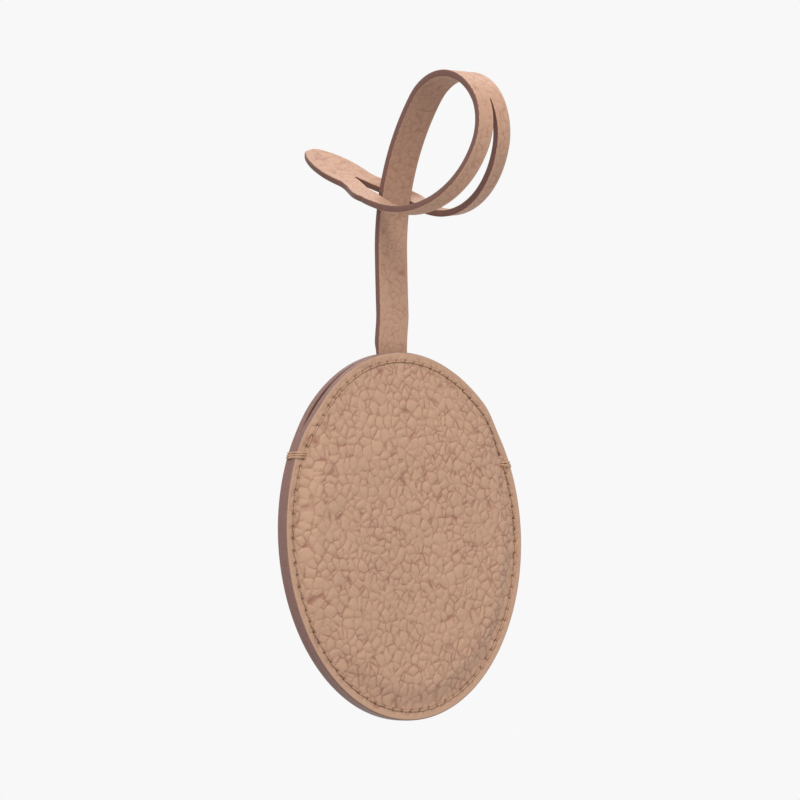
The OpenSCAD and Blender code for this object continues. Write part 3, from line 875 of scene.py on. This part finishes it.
def makeStrap():
    bm, layers = newLeatherMesh()
    r, half = strap["round"], strap["width"] / 2
    columns = strap["columns"]
    rows = round((strapLength + strap["insideLength"]) / strap["spacing"])
    bmesh.ops.create_grid(bm, x_segments=2 * columns + 1, y_segments=rows, size=1.0)
    inner = strap["slitCut"] / 2 + r * 0.7
    centreFaces = []
    for face in bm.faces:
        middle = face.calc_center_median()
        s = -strap["insideLength"] + (middle.y + 1) / 2 * (strapLength + strap["insideLength"])
        if abs(middle.x) < 0.5 / (2 * columns + 1) and strap["slitStart"] < s < slitEnd:
            centreFaces.append(face)
    for vert in bm.verts:
        column = round((vert.co.x + 1) / 2 * (2 * columns + 1))
        s = -strap["insideLength"] + (vert.co.y + 1) / 2 * (strapLength - r + strap["insideLength"])
        outer = half * tipShare(s) - r * min(1.0, tipShare(s) * 1.5)
        outer = max(outer, inner + 0.02)
        if column <= columns:
            x = -(outer + (inner - outer) * column / columns)
        else:
            x = inner + (outer - inner) * (column - columns - 1) / columns
        vert.co = (x, s, strap["thickness"] / 2)
        vert[layers["place"]] = (x, s, 1.0)
    bmesh.ops.delete(bm, geom=centreFaces, context="FACES")
    twin = bmesh.ops.duplicate(bm, geom=bm.verts[:] + bm.edges[:] + bm.faces[:])["geom"]
    twinVerts = [g for g in twin if isinstance(g, bmesh.types.BMVert)]
    twinSet = set(twinVerts)
    for vert in twinVerts:
        vert.co.z = -vert.co.z
        vert[layers["place"]] = (vert.co.x, vert.co.y, 31.0)
    edges = [edge for edge in bm.edges if edge.is_boundary and edge.verts[0] not in twinSet]
    outwards = {}
    for edge in edges:
        face = edge.link_faces[0]
        away = (edge.verts[0].co + edge.verts[1].co) / 2 - face.calc_center_median()
        along = edge.verts[1].co - edge.verts[0].co
        normal = Vector((along.y, -along.x, 0)).normalized()
        if normal.dot(away) < 0:
            normal = -normal
        for vert in edge.verts:
            outwards[vert] = outwards.get(vert, Vector()) + normal
    for vert, normal in outwards.items():
        vert[layers["outward"]] = normal.normalized()
    quarter = [(r * math.sin(math.radians(22.5 * k)), r * (1 - math.cos(math.radians(22.5 * k)))) for k in range(5)]
    profile = quarter[1:] + [(r + 0.03, strap["thickness"] / 2)]
    profile += [(out, strap["thickness"] - down) for out, down in reversed(quarter)]
    lastOut, lastDown = 0.0, 0.0
    for number, (out, down) in enumerate(profile):
        ink = 1.0 if 2 <= number <= len(profile) - 4 else (0.5 if number < len(profile) - 1 else 0.0)

        def move(vert):
            sideways = Vector(vert[layers["outward"]])
            share = 0.7 if abs(vert.co.x) < 1.2 and strap["slitStart"] - 1 < vert.co.y < slitEnd + 1 else 1.0
            vert.co += sideways * (out - lastOut) * share - Vector((0, 0, down - lastDown))
            vert[layers["ink"]] = ink

        edges = growLoop(bm, edges, move)
        lastOut, lastDown = out, down
    bmesh.ops.remove_doubles(bm, verts=bm.verts[:], dist=0.0005)
    # pebbles, then the bends of the loop
    for vert in bm.verts:
        x, s, n = vert.co
        side = 1 if n > 0 else -1
        face = soft((abs(n) - strap["thickness"] / 2 + 0.1) / 0.1)
        if face > 0:
            height, paintedGrooveShade = pebbleAt(x, s, 14.0 + 3 * side, strap["pebble"])
            calm = soft((half * tipShare(s) - abs(x) - 0.4) / 1.0) * face
            if strap["slitStart"] < s < slitEnd:
                calm *= soft((abs(x) - 0.5) / 0.9)
            n -= side * strap["depth"] * (1 - height) * calm
            # painted shade in the grooves of the strap
            vert[layers["creaseShadeAndMottle"]] = paintedGrooveShade * calm
        # painted shade: the inner side of the strap a little deeper in tone, more along the inside of the loop
        # where less light falls
        if n < 0:
            vert[layers["holeAndLoopShade"]] = 0.1 + 0.1 * soft((s - 24) / 20) * (1 - soft((s - 66) / 10))
        pared = soft((1.6 - s) / 3.2)
        centre, squeeze = -0.12 * pared, 1 - 0.42 * pared
        pared = soft((-1.4 - s) / 3)
        centre, squeeze = centre - 0.2 * pared, squeeze * (1 - 0.5 * pared)
        n = n * squeeze + centre
        y, z, heading = pathAt(s)
        turn = math.radians(heading)
        x += math.copysign(slitOpen * slitSpread(s), x)
        middle = math.copysign(half * 0.5 + slitOpen * slitSpread(s), x)
        own = math.radians(legTipAt(s))
        x, n = (middle + (x - middle) * math.cos(own) - n * math.sin(own),
                (x - middle) * math.sin(own) + n * math.cos(own))
        roll = math.radians(rollAt(s, math.copysign(1, x)))
        x, n = x * math.cos(roll) - n * math.sin(roll), x * math.sin(roll) + n * math.cos(roll)
        vert.co = (x + sidewaysAt(s), y + n * math.cos(turn), z + n * math.sin(turn))
    return finishPiece(bm, "slitLoopStrap", strapLeather)


loopStrap = makeStrap()
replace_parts(loopStrap, "strap_outer_ply", "strap_inner_ply", "strap_anchor")
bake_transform(loopStrap)
print("strap made")

# tracker materials


def makeMottleGroup():
    tree, entry, result = newGroup(
        "fineMottle",
        [
            ("Base Colour", "NodeSocketColor", (0.8, 0.8, 0.8, 1)),
            ("Scale", "NodeSocketFloat", 900.0),
            ("Stretch", "NodeSocketFloat", 1.0),
            ("Roughness", "NodeSocketFloat", 0.4),
            ("Amount", "NodeSocketFloat", 0.06),
        ],
        [("Colour", "NodeSocketColor"), ("Roughness", "NodeSocketFloat"), ("Height", "NodeSocketFloat")],
    )
    place = addNode(tree, "ShaderNodeTexCoord", (-900, 300))
    parts = addNode(tree, "ShaderNodeSeparateXYZ", (-700, 300))
    wire(tree, place, "Object", parts, 0)
    tall = addMath(tree, "MULTIPLY", (-550, 200), (parts, "Z"), (entry, "Stretch"))
    joined = addNode(tree, "ShaderNodeCombineXYZ", (-400, 300))
    wire(tree, parts, "X", joined, "X")
    wire(tree, parts, "Y", joined, "Y")
    wire(tree, tall, 0, joined, "Z")
    grainNoise = addNode(tree, "ShaderNodeTexNoise", (-200, 300))
    setSocket(grainNoise, "Detail", 4.0)
    wire(tree, joined, 0, grainNoise, "Vector")
    wire(tree, entry, "Scale", grainNoise, "Scale")
    centred = addMath(tree, "SUBTRACT", (0, 300), (grainNoise, "Fac"), 0.5)
    swing = addMath(tree, "MULTIPLY", (150, 300), (centred, 0), (entry, "Amount"))
    tone = addMath(tree, "ADD", (300, 300), (swing, 0), 1.0)
    coloured = addNode(tree, "ShaderNodeVectorMath", (500, 200), operation="SCALE")
    wire(tree, entry, "Base Colour", coloured, 0)
    wire(tree, tone, 0, coloured, "Scale")
    wire(tree, coloured, 0, result, "Colour")
    rough = addMath(tree, "MULTIPLY_ADD", (500, 0), (centred, 0), 0.2)
    wire(tree, entry, "Roughness", rough, 2)
    wire(tree, rough, 0, result, "Roughness")
    wire(tree, grainNoise, "Fac", result, "Height")
    return tree


mottleGroup = makeMottleGroup()


def makeHardFinish(name, look):
    material, tree, shader = newMaterial(name)
    mottle = addNode(tree, "ShaderNodeGroup", (-300, 0), node_tree=mottleGroup)
    setSocket(mottle, "Base Colour", look["colour"])
    setSocket(mottle, "Scale", look["scale"])
    setSocket(mottle, "Stretch", look.get("stretch", 1.0))
    setSocket(mottle, "Roughness", look["rough"])
    setSocket(mottle, "Amount", look.get("amount", 0.08))
    wire(tree, mottle, "Colour", shader, "Base Color")
    wire(tree, mottle, "Roughness", shader, "Roughness")
    bump = addNode(tree, "ShaderNodeBump", (200, -200))
    setSocket(bump, "Strength", look.get("bump", 0.2))
    setSocket(bump, "Distance", 0.00004)
    wire(tree, mottle, "Height", bump, "Height")
    wire(tree, bump, "Normal", shader, "Normal")
    setSocket(shader, "Metallic", look.get("metal", 0.0))
    setSocket(shader, "Specular IOR Level", look.get("shine", 0.5))
    setSocket(shader, "Coat Weight", look.get("coat", 0.0))
    return material


hardLooks = {
    "shell_plastic": {"colour": (0.86, 0.86, 0.85, 1), "scale": 2600.0, "rough": 0.38, "amount": 0.03},
    "button_plastic": {"colour": (0.74, 0.74, 0.73, 1), "scale": 2600.0, "rough": 0.45, "amount": 0.04},
    "steel": {"colour": (0.62, 0.63, 0.64, 1), "scale": 1400.0, "stretch": 0.06, "rough": 0.3, "metal": 1.0},
    "cell_steel": {"colour": (0.66, 0.66, 0.63, 1), "scale": 1800.0, "stretch": 0.1, "rough": 0.26, "metal": 1.0},
    "gold_plate": {"colour": (0.83, 0.6, 0.25, 1), "scale": 1500.0, "rough": 0.28, "metal": 1.0},
    "board": {"colour": (0.015, 0.1, 0.045, 1), "scale": 1200.0, "rough": 0.32, "amount": 0.3, "coat": 0.3},
    "chip": {"colour": (0.02, 0.02, 0.022, 1), "scale": 3000.0, "rough": 0.55, "amount": 0.3},
    "ceramic": {"colour": (0.72, 0.68, 0.6, 1), "scale": 2000.0, "rough": 0.3, "amount": 0.1},
    "copper": {"colour": (0.62, 0.26, 0.12, 1), "scale": 1500.0, "rough": 0.3, "metal": 1.0},
}
hardFinishes = {slotName: makeHardFinish(slotName + "Finish", look) for slotName, look in hardLooks.items()}
for part in frame["record"]["subparts"]:
    finish = hardFinishes.get(part["material_slot"])
    if finish and not frame["nodes"][part["node"]].hide_render:
        node = frame["nodes"][part["node"]]
        node.data.materials.clear()
        node.data.materials.append(finish)
print("tracker finishes made")

# floor and light

studio = {"pale": 0.939, "floorDrop": 0.12, "fill": 0.65}


def paleLight(tree, kindOut, place):
    path = addNode(tree, "ShaderNodeLightPath", (-600, place))
    level = addNode(tree, "ShaderNodeMapRange", (-400, place))
    setSocket(level, "To Min", studio["fill"])
    setSocket(level, "To Max", studio["pale"])
    wire(tree, path, "Is Camera Ray", level, "Value")
    return level


world = bpy.data.worlds.new("paleRoom")
world.use_nodes = True
worldTree = world.node_tree
worldTree.nodes.clear()
worldOut = addNode(worldTree, "ShaderNodeOutputWorld", (200, 0))
worldGlow = addNode(worldTree, "ShaderNodeBackground", (0, 0))
setSocket(worldGlow, "Color", (1, 1, 1, 1))
wire(worldTree, paleLight(worldTree, worldGlow, 0), "Result", worldGlow, "Strength")
wire(worldTree, worldGlow, 0, worldOut, "Surface")
bpy.context.scene.world = world


def makeFloor():
    bm = bmesh.new()
    bmesh.ops.create_circle(bm, cap_ends=True, segments=96, radius=4.0)
    bmesh.ops.translate(bm, verts=bm.verts[:], vec=(0, 0, cadLow.z - studio["floorDrop"]))
    mesh = bpy.data.meshes.new("paleFloor")
    bm.to_mesh(mesh)
    bm.free()
    floor = bpy.data.objects.new("paleFloor", mesh)
    bpy.context.scene.collection.objects.link(floor)
    material = bpy.data.materials.new("paleFloor")
    material.use_nodes = True
    tree = material.node_tree
    tree.nodes.clear()
    out = addNode(tree, "ShaderNodeOutputMaterial", (200, 0))
    glow = addNode(tree, "ShaderNodeEmission", (0, 0))
    setSocket(glow, "Color", (1, 1, 1, 1))
    wire(tree, paleLight(tree, glow, 0), "Result", glow, "Strength")
    wire(tree, glow, 0, out, "Surface")
    mesh.materials.append(material)


def addSoftbox(name, place, aim, size, power, tint):
    data = bpy.data.lights.new(name, "AREA")
    data.shape = "RECTANGLE"
    data.size, data.size_y = size
    data.energy = power
    data.color = tint
    lamp = bpy.data.objects.new(name, data)
    lamp.location = place
    lamp.rotation_mode = "QUATERNION"
    lamp.rotation_quaternion = (Vector(aim) - Vector(place)).to_track_quat("-Z", "Y")
    bpy.context.scene.collection.objects.link(lamp)


makeFloor()
middle = (cadLow + cadHigh) / 2
addSoftbox("keySoftbox", (-0.55, -0.75, 0.75), middle, (0.7, 0.7), 9.0, (1.0, 0.985, 0.96))
addSoftbox("topSoftbox", (0.35, 0.25, 1.0), middle, (0.8, 0.8), 6.0, (1.0, 1.0, 1.0))
print("studio made")
